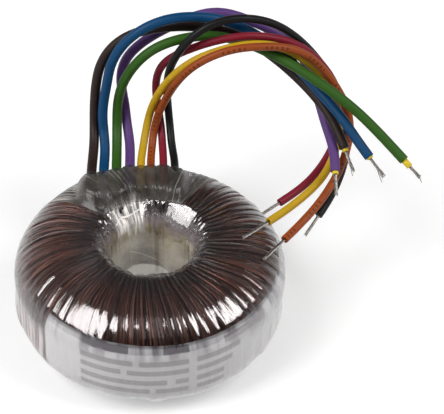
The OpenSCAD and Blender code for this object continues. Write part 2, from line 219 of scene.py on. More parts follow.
PRIMARIES = ("brown", "blue", "green", "violet")
INNER_LENGTH = {"brown": 0.8, "blue": 0.5, "green": 2.2, "violet": 0.8}
BARE_LENGTH = {"brown": 6, "blue": 6, "green": 4, "violet": 6, "yellow": 10, "orange": 9.5,
               "red": 6, "black": 7}
print("routes:", len(ROUTES), "with", sum(len(knots) for knots in ROUTES.values()), "points")

# %% From points to smooth lines
STEPS_PER_SPAN = 6


def lead_diameter(colour):
    return PRIMARY_D if colour in PRIMARIES else SECONDARY_D


def sleeve_diameter(colour):
    return PRIMARY_SLEEVE_D if colour in PRIMARIES else SECONDARY_SLEEVE_D


def route_line(colour):
    """The lead's middle line as close points, in millimetres."""
    exit_xy, *rest = ROUTES[colour]
    start = np.array([*exit_xy, FACE_Z + REST_GAP + sleeve_diameter(colour) / 2])
    knots = [start, start + [0, EXIT_RUN, 0]] + [np.array([x, y, z + FACE_Z]) for x, y, z in rest]
    knots = np.array([2 * knots[0] - knots[1], *knots, 2 * knots[-1] - knots[-2]])
    line = []
    for i in range(len(knots) - 3):
        a, b, c, d = knots[i:i + 4]
        for t in np.arange(STEPS_PER_SPAN) / STEPS_PER_SPAN:
            line.append(((1 - t) ** 3 * a + (3 * t ** 3 - 6 * t * t + 4) * b
                         + (1 + 3 * t + 3 * t * t - 3 * t ** 3) * c + t ** 3 * d) / 6)
    line.append(knots[-2])
    return np.array(line)


def span_lengths(line):
    return np.linalg.norm(np.diff(line, axis=0), axis=1)


lead_lines = {colour: route_line(colour) for colour in ROUTES}

# %% [markdown]
# ## Insulation, inner insulation and bare strands
# A cut lead shows its build: the coloured jacket, on the primaries a yellow inner jacket, and
# then the tinned strands, loosely twisted and splayed where the cutter let them go. The jacket's
# last rings step inwards, which rounds the cut edge and leaves a shallow dish.

# %% Jackets
LEAD_SIDES, INNER_RADIUS = 20, 0.85
JACKET_CUT = ((0.1, 1.0), (0.02, 0.97), (0.0, 0.9), (0.0, 0.62), (0.25, 0.5))


def add_uv(piece, u, v):
    """Stores a length in millimetres and a share of a turn as UV, for the materials."""
    layer = piece.data.uv_layers.new(name="UVMap")
    index = np.zeros(len(piece.data.loops), np.int32)
    piece.data.loops.foreach_get("vertex_index", index)
    layer.data.foreach_set("uv", np.stack([u[index], v[index]], -1).astype(np.float32).ravel())


def add_jacket(colour):
    """A lead's coloured jacket. Its last rings are a step back from the cut and a share of the radius."""
    line, radius = lead_lines[colour], lead_diameter(colour) / 2
    rounds = circles(LEAD_SIDES, *ring_directions(line))
    way = unit(line[-1] - line[-2])
    rings = list(line[:-1, None] + radius * rounds[:-1])
    rings += [line[-1] - way * back + radius * share * rounds[-1] for back, share in JACKET_CUT]
    piece = add_mesh("insulation_" + colour, np.concatenate(rings), tube_faces(len(rings), LEAD_SIDES))
    along = np.concatenate([[0], np.cumsum(span_lengths(line))])
    along = np.concatenate([along[:-1], [along[-1]] * len(JACKET_CUT)])
    add_uv(piece, np.repeat(along, LEAD_SIDES), np.tile(np.arange(LEAD_SIDES) / LEAD_SIDES, len(rings)))
    return piece


def add_inner_jacket(colour, length):
    """The yellow inner jacket, from just inside the coloured one to its own cut."""
    line = lead_lines[colour]
    side, up = ring_directions(line[-3:])
    way, rounds = unit(line[-1] - line[-2]), circles(LEAD_SIDES, side[-1], up[-1])
    rings = [line[-1] + way * step + INNER_RADIUS * share * rounds for step, share in
             ((-0.6, 1), (length * 0.5, 1), (length - 0.08, 1), (length, 0.9), (length, 0.66),
              (length - 0.2, 0.55))]
    return add_mesh("inner_jacket_" + colour, np.concatenate(rings), tube_faces(len(rings), LEAD_SIDES))


# %% Bare strands
STRAND_D, STRAND_SIDES, STRAND_RINGS, STRANDS = 0.24, 6, 16, 9
STRAND_CIRCLE, TWIST_LENGTH, HIDDEN_START = 0.30, 7.0, 0.4
SPLAY = {"blue": 0.75, "green": 0.6, "brown": 0.35}
STRAY_STRAND = {"green": 0, "blue": 3, "brown": 5}
strand_rng = np.random.default_rng(4)


def add_strands(colour, start, way, length):
    """Eight strands round a ninth with a slow twist, splayed towards the cut, one gone astray."""
    side = square_to(way)
    up = np.cross(side, way)
    points, faces = [], []
    t = np.linspace(0, 1, STRAND_RINGS)
    radii = np.full((STRAND_RINGS, 1, 1), STRAND_D / 2)
    radii[-1] = STRAND_D / 3
    for k in range(STRANDS):
        off_middle = 0.0 if k == STRANDS - 1 else STRAND_CIRCLE
        off_middle = off_middle * (1 + SPLAY.get(colour, 0.12) * strand_rng.uniform(0.2, 1.6) * t ** 3)
        angle = 2 * math.pi * (k / (STRANDS - 1)) + t * length / TWIST_LENGTH * 2 * math.pi * 0.8
        reach = length * strand_rng.uniform(0.90, 1.0)
        path = (start - HIDDEN_START * way + np.outer(t * (reach + HIDDEN_START), way)
                + (off_middle * np.cos(angle))[:, None] * side
                + (off_middle * np.sin(angle))[:, None] * up)
        if k == STRAY_STRAND.get(colour):
            bow = np.where(t > 0.45, (t - 0.45) / 0.55, 0) ** 2
            path = path + np.outer(bow, 1.3 * side + 0.5 * way + np.array([0.5, 0, -0.6]))
        rings = path[:, None] + radii * circles(STRAND_SIDES, *ring_directions(path))
        points.append(rings.reshape(-1, 3))
        faces += tube_faces(STRAND_RINGS, STRAND_SIDES, k * STRAND_RINGS * STRAND_SIDES)
    return add_mesh("strands_" + colour, np.concatenate(points), faces)


jackets, inner_jackets, strands = {}, {}, {}
for colour, line in lead_lines.items():
    way, bare_from = unit(line[-1] - line[-2]), INNER_LENGTH.get(colour, 0)
    jackets[colour] = add_jacket(colour)
    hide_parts("lead_" + colour)
    if colour in INNER_LENGTH:
        inner_jackets[colour] = add_inner_jacket(colour, bare_from)
        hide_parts("inner_insulation_" + colour)
    strands[colour] = add_strands(colour, line[-1] + way * bare_from, way, BARE_LENGTH[colour])
    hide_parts("conductor_" + colour)
print("leads built:", len(jackets))

# %% [markdown]
# ## The ring's section
# Wires, band and film all follow one outline: a straight wall, a wide soft shoulder, a narrow
# flat crown, a small rim and the straight wall of the hole. The build is how far a layer stands
# off the steel core on the wall, on the faces and in the hole, so a layer is one call.

# %% Section of the ring
CORE_OD, CORE_ID, CORE_H = 60.0, 34.6, 18.0
FILM_BUILD = np.array([5.0, 6.5, 6.8])
UNDER_FILM = np.array([4.7, 6.2, 6.0])
WIRE_TOP = np.array([4.3, 5.9, 5.9])
SHOULDER_W, SHOULDER_H, RIM_W, RIM_H, LEAN = 16.0, 11.4, 4.5, 7.5, 7.0
OUTER_R, HOLE_R, MID_Z = 35.0, 10.5, 15.5


def section(build, shoulder=16, rim=10, wall=6, crown=3, hole=10):
    """Points [radius, height over the middle] round the section, and their outward normals."""
    wall_r, hole_r, half = CORE_OD / 2 + build[0], CORE_ID / 2 - build[2], CORE_H / 2 + build[1]
    reach = SHOULDER_W * build[0] / FILM_BUILD[0]
    drop = SHOULDER_H * build[1] / FILM_BUILD[1]
    bend_w, bend_h = np.array([RIM_W, RIM_H]) * build[2] / FILM_BUILD[2]
    points = []

    def arc(cx, cy, rx, ry, begin, steps):
        a = np.radians(begin + 90 * np.arange(steps) / steps)
        points.extend(np.stack([cx + rx * np.cos(a), cy + ry * np.sin(a)], -1))

    def run(x0, y0, x1, y1, steps):
        t = (np.arange(steps) / steps)[:, None]
        points.extend(np.array([x0, y0]) * (1 - t) + np.array([x1, y1]) * t)

    inner = hole_r + bend_w
    arc(wall_r - reach, half - drop, reach, drop, 0, shoulder)
    run(wall_r - reach, half, inner, half, crown)
    arc(inner, half - bend_h, bend_w, bend_h, 90, rim)
    run(hole_r, half - bend_h, hole_r, bend_h - half, hole)
    arc(inner, bend_h - half, bend_w, bend_h, 180, rim)
    run(inner, -half, wall_r - reach, -half, crown)
    arc(wall_r - reach, drop - half, reach, drop, 270, shoulder)
    run(wall_r, drop - half, wall_r, half - drop, wall)
    points = np.array(points)
    ahead = np.roll(points, -1, axis=0) - np.roll(points, 1, axis=0)
    return points, unit(np.stack([ahead[:, 1], -ahead[:, 0]], -1))


film_outline = section(FILM_BUILD)[0]
print("section points:", len(film_outline), "radius", film_outline[:, 0].min(), "to",
      film_outline[:, 0].max())

# %% [markdown]
# ## Bundles
# A winding machine lays the turns down in little groups. Between two groups there is a groove,
# and the film over it bridges from crest to crest, which is what breaks the lamps' reflections
# into separate bars. Wires and film must agree on where the groups are, so the groups
# come first: a start angle, a crest height and a lean for each.

# %% Bundles of turns
TURNS, CREST_SHARE, GROOVE_SHARE = 250, 0.45, 1.1
TURN_STEP = 357.0 / TURNS
bundle_rng = np.random.default_rng(11)
sizes = []
while sum(sizes) < TURNS:
    sizes.append(int(bundle_rng.integers(2, 5)))
sizes[-1] -= sum(sizes) - TURNS
BUNDLES = len(sizes)
bundle_ends = np.concatenate([[0], np.cumsum(sizes)]) * TURN_STEP
bundle_middle = (bundle_ends[1:] + bundle_ends[:-1]) / 2
bundle_crest = bundle_rng.uniform(-1, 1, BUNDLES)
bundle_lean = bundle_rng.normal(0, 1.1, BUNDLES)
bundle_dip = bundle_rng.uniform(0.25, 1.0, BUNDLES)
print("bundles:", BUNDLES, "of", min(sizes), "to", max(sizes), "turns")


def crest_height(angle):
    """Height pattern of the film over the bundles, from -1 in a deep groove to about 1 on a crest."""
    a = np.mod(angle, 360)
    places, crests, dips = (np.concatenate([[values[-1] - back], values, [values[0] + back]])
                            for values, back in ((bundle_middle, 360), (bundle_crest, 0), (bundle_dip, 0)))
    i = np.clip(np.searchsorted(places, a) - 1, 0, len(places) - 2)
    t = (a - places[i]) / (places[i + 1] - places[i])
    ease = t * t * (3 - 2 * t)
    between = crests[i] * (1 - ease) + crests[i + 1] * ease
    return CREST_SHARE * between - GROOVE_SHARE * dips[i] * np.sin(math.pi * t) ** 2


# %% [markdown]
# ## The rim of the hole
# At two places the film is drawn flat over the rim of the hole, and there it mirrors a lamp as
# one wide patch or breaks up into streaks. The wires below give way too, so the amount by
# which the rim is pressed in is worked out once, for both.

# %% Pressed places on the rim
TIGHT_PATCH, STREAKY_PATCH = (53, 19), (120, 25)
SOFT_PRESS, FACET_RISE, FACET_RUN = 0.96, 4.96, 3.38


def in_sector(angle, middle, half):
    """1 inside a sector of angles in degrees, 0 outside, with a short slope between."""
    off_middle = np.abs((angle - middle + 180) % 360 - 180)
    return rise(off_middle, half + 1.5, half - 1.5)


def rim_flat(angle, radius):
    """How far the rim is pressed in, in millimetres: a little all round, a facet at two places."""
    inward = rise(radius, HOLE_R + RIM_W, HOLE_R)
    upright = np.sqrt(1 - inward ** 2)
    soft = SOFT_PRESS * (inward + upright - 1)
    facet = np.clip(FACET_RISE * (upright - 1) + FACET_RUN * inward, 0, None)
    share = np.maximum(in_sector(angle, *TIGHT_PATCH), 0.8 * in_sector(angle, *STREAKY_PATCH))
    return soft * (1 - share) + facet * share


rim_radii = np.linspace(HOLE_R, HOLE_R + RIM_W, 50)
print("deepest press in mm:", round(float(rim_flat(TIGHT_PATCH[0], rim_radii).max()), 2))

# %% [markdown]
# ## The outer winding
# Each turn is a real closed loop of round wire. It leans as it crosses a face, because the next
# turn starts one wire further on. At the hole there is less room than on the wall, so the
# turns pile up: every third one lies deeper there.

# %% Outer winding
WIRE_D, WIRE_SIDES, FIRST_ANGLE = 0.82, 6, 91.5
PILE_STEP, ARCH_RISE, SQUEEZE, WANDER, UNEVEN, MOST_LIFT = 0.42, 0.16, 0.90, 0.12, 0.05, 0.03
wire_rng = np.random.default_rng(23)
wire_outline, wire_normal = section(WIRE_TOP - WIRE_D / 2, shoulder=9, rim=5, wall=3, crown=2, hole=3)
rows = len(wire_outline)
outward_share = rise(wire_outline[:, 0], HOLE_R, OUTER_R)
turn_points = []
for b in range(BUNDLES):
    for k in range(sizes[b]):
        place = (k + 0.5) - sizes[b] / 2
        squeeze = SQUEEZE + 0.03 * wire_rng.standard_normal()
        angle = bundle_middle[b] + place * TURN_STEP * squeeze
        lean = LEAN + bundle_lean[b] * 0.55 + wire_rng.normal(0, 0.35)
        wander = wire_rng.normal(0, WANDER) * np.sin(np.linspace(0, 4 * math.pi, rows)
                                                     + wire_rng.uniform(0, 6))
        angle = FIRST_ANGLE + angle - LEAN + lean * outward_share + wander
        pile = (len(turn_points) % 3) * PILE_STEP * (1 - outward_share) ** 0.8
        arch = ARCH_RISE * (1 - (2 * place / sizes[b]) ** 2) - ARCH_RISE
        lift = arch * outward_share - pile + UNEVEN * wire_rng.standard_normal() * outward_share
        lift = np.minimum(lift, MOST_LIFT) - rim_flat(angle, wire_outline[:, 0])
        flat = wire_outline + wire_normal * lift[:, None]
        path = around(angle, flat[:, 0], flat[:, 1] + MID_Z)
        way = unit(np.roll(path, -1, axis=0) - np.roll(path, 1, axis=0))
        out = around(angle, wire_normal[:, 0], wire_normal[:, 1])
        out = unit(out - way * (out * way).sum(-1, keepdims=True))
        rings = path[:, None] + WIRE_D / 2 * circles(WIRE_SIDES, out, np.cross(way, out))
        turn_points.append(rings.reshape(-1, 3))
turn_faces = [face for turn in range(TURNS)
              for face in grid_faces(rows, WIRE_SIDES, True, True, turn * rows * WIRE_SIDES)]
winding = add_mesh("winding_wires", np.concatenate(turn_points), turn_faces)
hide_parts("secondary_winding_2")
print("turns:", len(turn_points), "faces:", len(turn_faces))

# %% [markdown]
# ## Film wrap
# The film is wound on like the wire, so its creases run the same way. It is a skin about a
# tenth of a millimetre thick. Its height follows the bundles, with finer puckers near the hole,
# where the same width of film has to fit a third of the length. On the wall it lies nearly
# smooth, with shallow bulges low down.

# %% Noise round the ring
def smooth_noise(count, seed):
    """A closed curve of noise as a function of degrees."""
    values = np.random.default_rng(seed).uniform(-1, 1, count)

    def at(angle):
        p = np.mod(angle, 360) / 360 * count
        i = np.floor(p).astype(int) % count
        t = p - np.floor(p)
        t = t * t * (3 - 2 * t)
        return values[i] * (1 - t) + values[(i + 1) % count] * t
    return at


fine_pucker, coarse_pucker, rim_pucker = smooth_noise(130, 1), smooth_noise(60, 2), smooth_noise(110, 12)
lap_height, wall_crease = smooth_noise(36, 3), smooth_noise(64, 6)
big_fold, scallop = smooth_noise(64, 21), smooth_noise(58, 33)
print("fine pucker at 90 degrees:", round(float(fine_pucker(90)), 2))

# %% Height of the film
DRAWN_TIGHT = ((236, 7, 1.0), (309, 7, 0.8), (272, 50, 0.35))
BUNDLE_LIFT, WALL_LIFT, FINE_PUCKER, COARSE_PUCKER = 0.20, 0.05, 0.13, 0.22
FOLD_LIFT, CRINKLE_LIFT, LAP_LIFT, SCALLOP_LIFT, DRAWN_IN, BRIDGE_R = 0.6, 0.34, 0.05, 0.55, 0.04, 12.5


def scallops(angle, height):
    """Shallow outward bulges of the film round the lower part of the wall, in millimetres."""
    return SCALLOP_LIFT * np.clip(scallop(angle + 0.5 * height), 0, 1) * rise(height, -1, -5)


def film_lift(angle, radius, height):
    """Height of the film off its smooth outline in millimetres, at an angle and a section point."""
    tight, streaky = in_sector(angle, *TIGHT_PATCH), in_sector(angle, *STREAKY_PATCH)
    tight_top = tight * (radius < 17.5)
    along = angle - FIRST_ANGLE - LEAN * (rise(radius, HOLE_R, OUTER_R) - 1)
    on_wall, near_hole, at_rim = rise(radius, 32.5, 34.5), rise(radius, 21, 13.5), rise(radius, 16.5, 14)
    # over the bundles: deep grooves on the shoulder, shallow where a lamp shows as a wide patch
    drawn = np.max([share * in_sector(angle, middle, half) for middle, half, share in DRAWN_TIGHT], axis=0)
    loose = BUNDLE_LIFT * (1 - on_wall) * (1 - 0.75 * near_hole) * (1 - 0.75 * drawn)
    bundles = crest_height(along) * (loose + WALL_LIFT * on_wall) * (1 - 0.9 * tight_top)
    # near the hole: puckers, folds at the streaky place, and crossing crinkles on the rim
    pucker = FINE_PUCKER * fine_pucker(along) + COARSE_PUCKER * coarse_pucker(along + 3)
    pucker = pucker * near_hole * (1 - 0.6 * streaky)
    folds = FOLD_LIFT * big_fold(angle + 2.5 * (radius - HOLE_R)) * streaky
    folds = folds * rise(radius, 18, 15) * rise(height, 7, 11)
    crossing = (rim_pucker(angle + 9 * (radius - HOLE_R))
                * rim_pucker(angle - 7 * (radius - HOLE_R) + 90))
    crinkles = CRINKLE_LIFT * crossing * at_rim * (1 - 0.85 * streaky)
    calm = np.maximum(rise(height, 4, 9), 0.15) * (1 - 0.93 * tight_top)
    # the tight place bridges the rim as a chord, and the wall stays nearly smooth
    half = TIGHT_PATCH[1]
    off_middle = np.clip(np.abs(angle - TIGHT_PATCH[0]), 0, half)
    bridge = BRIDGE_R * (np.cos(np.radians(off_middle)) - np.cos(np.radians(half))) * tight * at_rim
    laps = LAP_LIFT * lap_height(along + radius * 1.5)
    wall = WALL_LIFT * wall_crease(angle) * on_wall + scallops(angle, height) * rise(radius, 22, 28)
    pressed = rim_flat(angle, radius) * rise(np.abs(height), 8, 9)
    return bundles + (pucker + folds + crinkles) * calm + bridge + laps + wall - DRAWN_IN - pressed


all_round = np.arange(0.0, 360.0)
shoulder_lift = film_lift(all_round, 28.0 + 0 * all_round, 13.0 + 0 * all_round)
print("film on the shoulder, lift in mm:", shoulder_lift.min().round(2), "to", shoulder_lift.max().round(2))


# %% Film wrap
FILM_COLUMNS, FLOOR_GAP = 540, 0.02


def film_surface(outline, normal, columns, inset=0.0):
    """A grid of points on the film: a row for each angle, and along it round the section."""
    angle = np.linspace(0, 360, columns, endpoint=False)[:, None] + 0 * outline[None, :, 0]
    radius, height = outline[:, 0] + 0 * angle, outline[:, 1] + 0 * angle
    lift = film_lift(angle, radius, height) - inset
    height = np.maximum(height + normal[:, 1] * lift + MID_Z, FLOOR_GAP)
    return around(angle, radius + normal[:, 0] * lift, height)


film = add_skin("film_wrap", [film_surface(*section(FILM_BUILD - inset), FILM_COLUMNS)
                              for inset in (0.06, 0.16)], True, True)
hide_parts("outer_wrap")
film.visible_shadow = False

# %% [markdown]
# ## Printed band
# A thin pale band lies under the film on the wall. It creases a little where the film pulls it.
# It could be a strip wrapped by a modifier, but a grid of angles and heights gives the same
# strip at once, and its radius comes straight from the section just under the film.

# %% Printed band
BAND_FROM, BAND_TO, BAND_LOW, BAND_HIGH, BAND_T = 221.0, 376.0, 6.0, 24.9, 0.08
wall_outline = section(UNDER_FILM, shoulder=40, wall=2)[0]
wall_outline = wall_outline[(wall_outline[:, 1] > 0) & (wall_outline[:, 0] > 25)]
wall_outline = wall_outline[np.argsort(wall_outline[:, 1])]


def wall_radius(z):
    """Radius just inside the film at a height, on the wall and on the shoulders."""
    off_middle = np.abs(z - MID_Z)
    radius = np.interp(off_middle, wall_outline[:, 1], wall_outline[:, 0])
    return np.where(off_middle < wall_outline[0, 1], UNDER_FILM[0] + CORE_OD / 2, radius)


angle, level = np.meshgrid(np.linspace(BAND_FROM, BAND_TO, 220), np.linspace(BAND_LOW, BAND_HIGH, 22),
                           indexing="ij")
crease = 0.6 * (0.05 * wall_crease(angle) + 0.02 * fine_pucker(angle * 1.7))
ragged_top = 0.25 * coarse_pucker(angle * 0.4) * (level > BAND_HIGH - 0.5)
band = add_skin("printed_band", [around(angle, wall_radius(level) - inset + crease, level + ragged_top)
                                 for inset in (0.10, 0.10 + BAND_T)])
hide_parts("label")

# %% [markdown]
# ## Film laps in the hole
# In the hole the laps of film lie many deep, so there it looks milky and khaki. This lining is
# a skin of its own on the film's inner side of the hole, running out over both rims, where its
# edge breaks up into streaks.

# %% Lining of the hole
LINING_COLUMNS = 260
lining_outline, lining_normal = section(FILM_BUILD, rim=14, hole=12)
in_hole = lining_outline[:, 0] < HOLE_R + RIM_W - 0.3
lining = add_skin("film_laps_in_hole", [film_surface(lining_outline[in_hole], lining_normal[in_hole],
                                                     LINING_COLUMNS, inset)
                                        for inset in (0.17, 0.24)], True)
lining.visible_shadow = False

# %% [markdown]
# ## Film laps round the wall
# Round the wall the laps of film lie three or four deep over the printed band, and beside the
# band they look like frosted glass. They end on the shoulder in a ragged edge, since each lap
# stops where its bundle of turns carries it.

# %% Laps round the wall
LAP_BOTTOM, LAP_TOP, LAP_TOP_ON_BAND = 2.0, 26.2, 24.5
lap_angle = np.linspace(0, 360, 360, endpoint=False)
lap_top = LAP_TOP + 0.7 * crest_height(lap_angle - FIRST_ANGLE) + 0.5 * coarse_pucker(lap_angle)
past_start = lap_angle + 360 * (lap_angle < 100)
in_band = np.clip(np.minimum(past_start - BAND_FROM, BAND_TO - past_start) / 2, 0, 1)
lap_top = lap_top * (1 - in_band) + LAP_TOP_ON_BAND * in_band
level = LAP_BOTTOM + np.linspace(0, 1, 24) * (lap_top[:, None] - LAP_BOTTOM)
angle = lap_angle[:, None] + 0 * level
radius = wall_radius(level) + 0.13 + 0.05 * wall_crease(angle) + scallops(angle, level - MID_Z)
wall_laps = add_skin("film_laps_on_wall", [around(angle, radius - inset, level)
                                           for inset in (0.0, 0.05)], True)
wall_laps.visible_shadow = False

# %% [markdown]
# ## Film over the joints
# The leads are soldered on at the back of the upper face, and a second piece of film is drawn
# over the joints. It hangs from sleeve to sleeve and lies down on the wrap all round, so its
# height is a soft maximum of the sleeves and the wrap.

# %% Cover over the joints
COVER_FROM, COVER_TO, COVER_INNER, COVER_OUTER = 55, 148, 14.0, 31.5
SLEEVE_L, COVER_GAP, BLEND, COVER_TOP = 8, 0.28, 0.5, 34.9
angle, radius = np.meshgrid(np.linspace(COVER_FROM, COVER_TO, 150),
                            np.linspace(COVER_INNER, COVER_OUTER, 60), indexing="ij")
across, back, _ = np.moveaxis(around(angle, radius, 0), -1, 0)
top_outline = film_outline[film_outline[:, 1] > 0]
top_outline = top_outline[np.argsort(top_outline[:, 0])]
face_height = np.interp(radius, top_outline[:, 0], top_outline[:, 1])
base = face_height + MID_Z + film_lift(angle, radius, face_height) + 0.06
roof = np.full_like(base, -10.0)
for colour, knots in ROUTES.items():
    x, y = knots[0]
    # it sags beside a sleeve and falls away past its two ends
    over = FACE_Z + sleeve_diameter(colour) + COVER_GAP - 0.6 * rise(back, y - 3, y)
    beside = np.clip(np.abs(across - x) - 0.9, 0, None)
    past_front = np.clip(y - SLEEVE_L - back, 0, None)
    past_back = np.clip(back - (y - 0.6), 0, None)
    roof = np.maximum(roof, over - 1.1 * (beside / 1.5) ** 2 - 1.2 * (past_front / 2.2) ** 1.5
                      - (past_back / 1.1) ** 1.6)
height = BLEND * np.log(np.exp((base - FACE_Z) / BLEND) + np.exp((roof - FACE_Z) / BLEND)) + FACE_Z
inside = np.minimum(np.minimum(rise(angle, COVER_FROM, COVER_FROM + 8), rise(angle, COVER_TO, COVER_TO - 8)),
                    np.minimum(rise(radius, COVER_INNER, COVER_INNER + 1.5),
                               rise(radius, COVER_OUTER, COVER_OUTER - 2.5)))
fine_wrinkle, coarse_wrinkle = smooth_noise(120, 8), smooth_noise(55, 9)
wrinkles = 0.10 * fine_wrinkle(angle * 1.6 + radius * 2) + 0.14 * coarse_wrinkle(angle * 2 - radius * 3)
height = np.minimum(base + (height - base + wrinkles) * inside, COVER_TOP)
cover = add_skin("film_over_joints", [np.stack([across, back, height - inset], -1)
                                      for inset in (0.0, 0.06)])
cover.visible_shadow = False
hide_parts("lead_cover")

# %% [markdown]
# ## Short names for nodes
# A finish is a chain of small nodes: noise, sums, soft steps and mixes of colour. Written out in
# full, the wiring hides the idea, so one class gives each kind of node a short name. A value may
# be a plain number, a colour or another node's output, and the class writes or links it.

# %% Making and linking nodes
class Wiring:
    """One node tree, in which nodes are made and linked by short names."""

    def __init__(self, tree):
        self.tree = tree

    def new(self, kind, operation=None):
        node = self.tree.nodes.new("ShaderNode" + kind)
        if operation:
            node.operation = operation
        return node

    def put(self, value, socket):
        """Writes a plain number or colour into a socket, or links another node's output to it."""
        if isinstance(value, tuple):
            socket.default_value = (*value, 1.0)
        elif isinstance(value, (int, float)):
            socket.default_value = value
        else:
            self.tree.links.new(value, socket)

    def fill(self, node, *values, **named):
        """Fills a node's sockets, in their order or by name, and gives its first output."""
        for value, socket in zip(values, node.inputs):
            self.put(value, socket)
        for label, value in named.items():
            self.put(value, node.inputs[label])
        return node.outputs[0]

    def group(self, group, **values):
        """Places a node group with its own values, and gives its outputs."""
        node = self.new("Group")
        node.node_tree = group
        self.fill(node, **values)
        return node.outputs


# %% Sums, steps, colours and places
class Nodes(Wiring):
    """The kinds of node that the finishes below need."""

    def math(self, operation, first, *others):
        """One operation, carried on from value to value."""
        if not others:
            return self.fill(self.new("Math", operation), first)
        for other in others:
            first = self.fill(self.new("Math", operation), first, other)
        return first

    def times(self, *values):
        return self.math("MULTIPLY", *values)

    def plus(self, *values):
        return self.math("ADD", *values)

    def minus(self, a, b):
        return self.math("SUBTRACT", a, b)

    def most(self, *values):
        return self.math("MAXIMUM", *values)

    def apart(self, a, b):
        """How far two values lie apart."""
        return self.math("ABSOLUTE", self.minus(a, b))

    def ramp(self, value, low, high, at_low=0.0, at_high=1.0):
        """A soft step from one value at low to another at high."""
        node = self.new("MapRange")
        node.interpolation_type = "SMOOTHSTEP"
        return self.fill(node, value, low, high, at_low, at_high)

    def mix(self, share, a, b):
        """A colour a share of the way from one colour to another."""
        node = self.new("Mix")
        node.data_type = "RGBA"
        for value, number in ((share, 0), (a, 6), (b, 7)):
            self.put(value, node.inputs[number])
        return node.outputs[2]

    def noise(self, vector, scale, roughness=0.5):
        return self.fill(self.new("TexNoise"), Vector=vector, Scale=scale, Detail=4.0,
                         Roughness=roughness)

    def where(self, kind="Object"):
        """The place on the surface, in metres."""
        return self.new("TexCoord").outputs[kind]

    def split(self, vector):
        parts = self.new("SeparateXYZ")
        self.put(vector, parts.inputs[0])
        return parts.outputs

    def ring(self):
        return self.group(ring_coordinates)

    def streaks(self, across, along, seed=0.0):
        return self.group(turn_streaks, Across=across, Along=along, Seed=seed)[0]


# %% Node groups
FLOAT, COLOUR = "NodeSocketFloat", "NodeSocketColor"


def new_group(name, inputs, outputs):
    """A node group: its nodes, the values given to it and the sockets that it puts out."""
    tree = bpy.data.node_groups.new(name, "ShaderNodeTree")
    for label, kind, value in inputs:
        tree.interface.new_socket(label, in_out="INPUT", socket_type=kind).default_value = value
    for label, kind in outputs:
        tree.interface.new_socket(label, in_out="OUTPUT", socket_type=kind)
    print("node group", name, "gives", [label for label, _ in outputs])
    return Nodes(tree), tree.nodes.new("NodeGroupInput").outputs, tree.nodes.new("NodeGroupOutput").inputs


# %% [markdown]
# ## Shared effects
# Three effects come back in many finishes, and each is a node group. The first says where a point
# lies on the ring: its angle, its distance from the axis and its height. The second uses it for
# streaks that run round the section as the turns do. The third is a cloudy change of colour.

# %% Ring coordinates, as a group
def build_ring_coordinates():
    """Angle along the leaning turns, distance from the axis, height and plain angle, in mm and degrees."""
    n, _, out = new_group("ring_coordinates", [], [("Angle", FLOAT), ("Radius", FLOAT),
                                                   ("Height", FLOAT), ("Plain Angle", FLOAT)])
    x, y, z = n.split(n.where())
    radius = n.times(n.math("SQRT", n.plus(n.times(x, x), n.times(y, y))), 1000.0)
    angle = n.times(n.math("ARCTAN2", y, x), 180 / math.pi)
    lean = n.times(n.minus(radius, HOLE_R), LEAN / (OUTER_R - HOLE_R))
    for label, value in (("Angle", n.minus(angle, lean)), ("Radius", radius),
                         ("Height", n.times(z, 1000.0)), ("Plain Angle", angle)):
        n.put(value, out[label])
    return n.tree


ring_coordinates = build_ring_coordinates()


# %% Streaks along the turns, as a group
def build_turn_streaks():
    """Noise drawn out along the turns: fine across them and slow along them."""
    n, given, out = new_group("turn_streaks", [("Across", FLOAT, 1.0), ("Along", FLOAT, 0.1),
                                               ("Seed", FLOAT, 0.0)], [("Value", FLOAT)])
    ring = n.ring()
    angle = n.times(ring["Angle"], math.pi / 180)
    # the angle goes round a circle, so that no seam shows where it wraps
    third = n.plus(n.times(n.plus(ring["Radius"], ring["Height"]), given["Along"]), given["Seed"])
    vector = n.fill(n.new("CombineXYZ"), n.times(n.math("COSINE", angle), given["Across"]),
                    n.times(n.math("SINE", angle), given["Across"]), third)
    n.put(n.noise(vector, 1.0, 0.6), out["Value"])
    return n.tree


turn_streaks = build_turn_streaks()


# %% Cloudy colour, as a group
def build_cloudy_colour():
    """A colour that drifts lighter and darker over the surface."""
    n, given, out = new_group("cloudy_colour", [("Color", COLOUR, (0.5, 0.5, 0.5, 1)),
                                                ("Amount", FLOAT, 0.15), ("Scale", FLOAT, 200.0)],
                              [("Color", COLOUR), ("Value", FLOAT)])
    cloud = n.noise(n.where(), given["Scale"])
    gain = n.plus(n.times(n.minus(cloud, 0.5), 2.0, given["Amount"]), 1.0)
    n.put(n.fill(n.new("VectorMath", "SCALE"), given["Color"], Scale=gain), out["Color"])
    n.put(cloud, out["Value"])
    return n.tree


cloudy_colour = build_cloudy_colour()

# %% [markdown]
# ## Materials
# Each finish has one Principled shader. What stays the same all over stands as a plain value on
# the shader's own socket, and only what changes over the surface comes from nodes.

# %% Material helper
def rgb(*levels):
    """A colour given as red, green and blue from 0 to 255, in the renderer's linear values."""
    return tuple(((c / 255 + 0.055) / 1.055) ** 2.4 if c > 10 else c / 255 / 12.92 for c in levels)


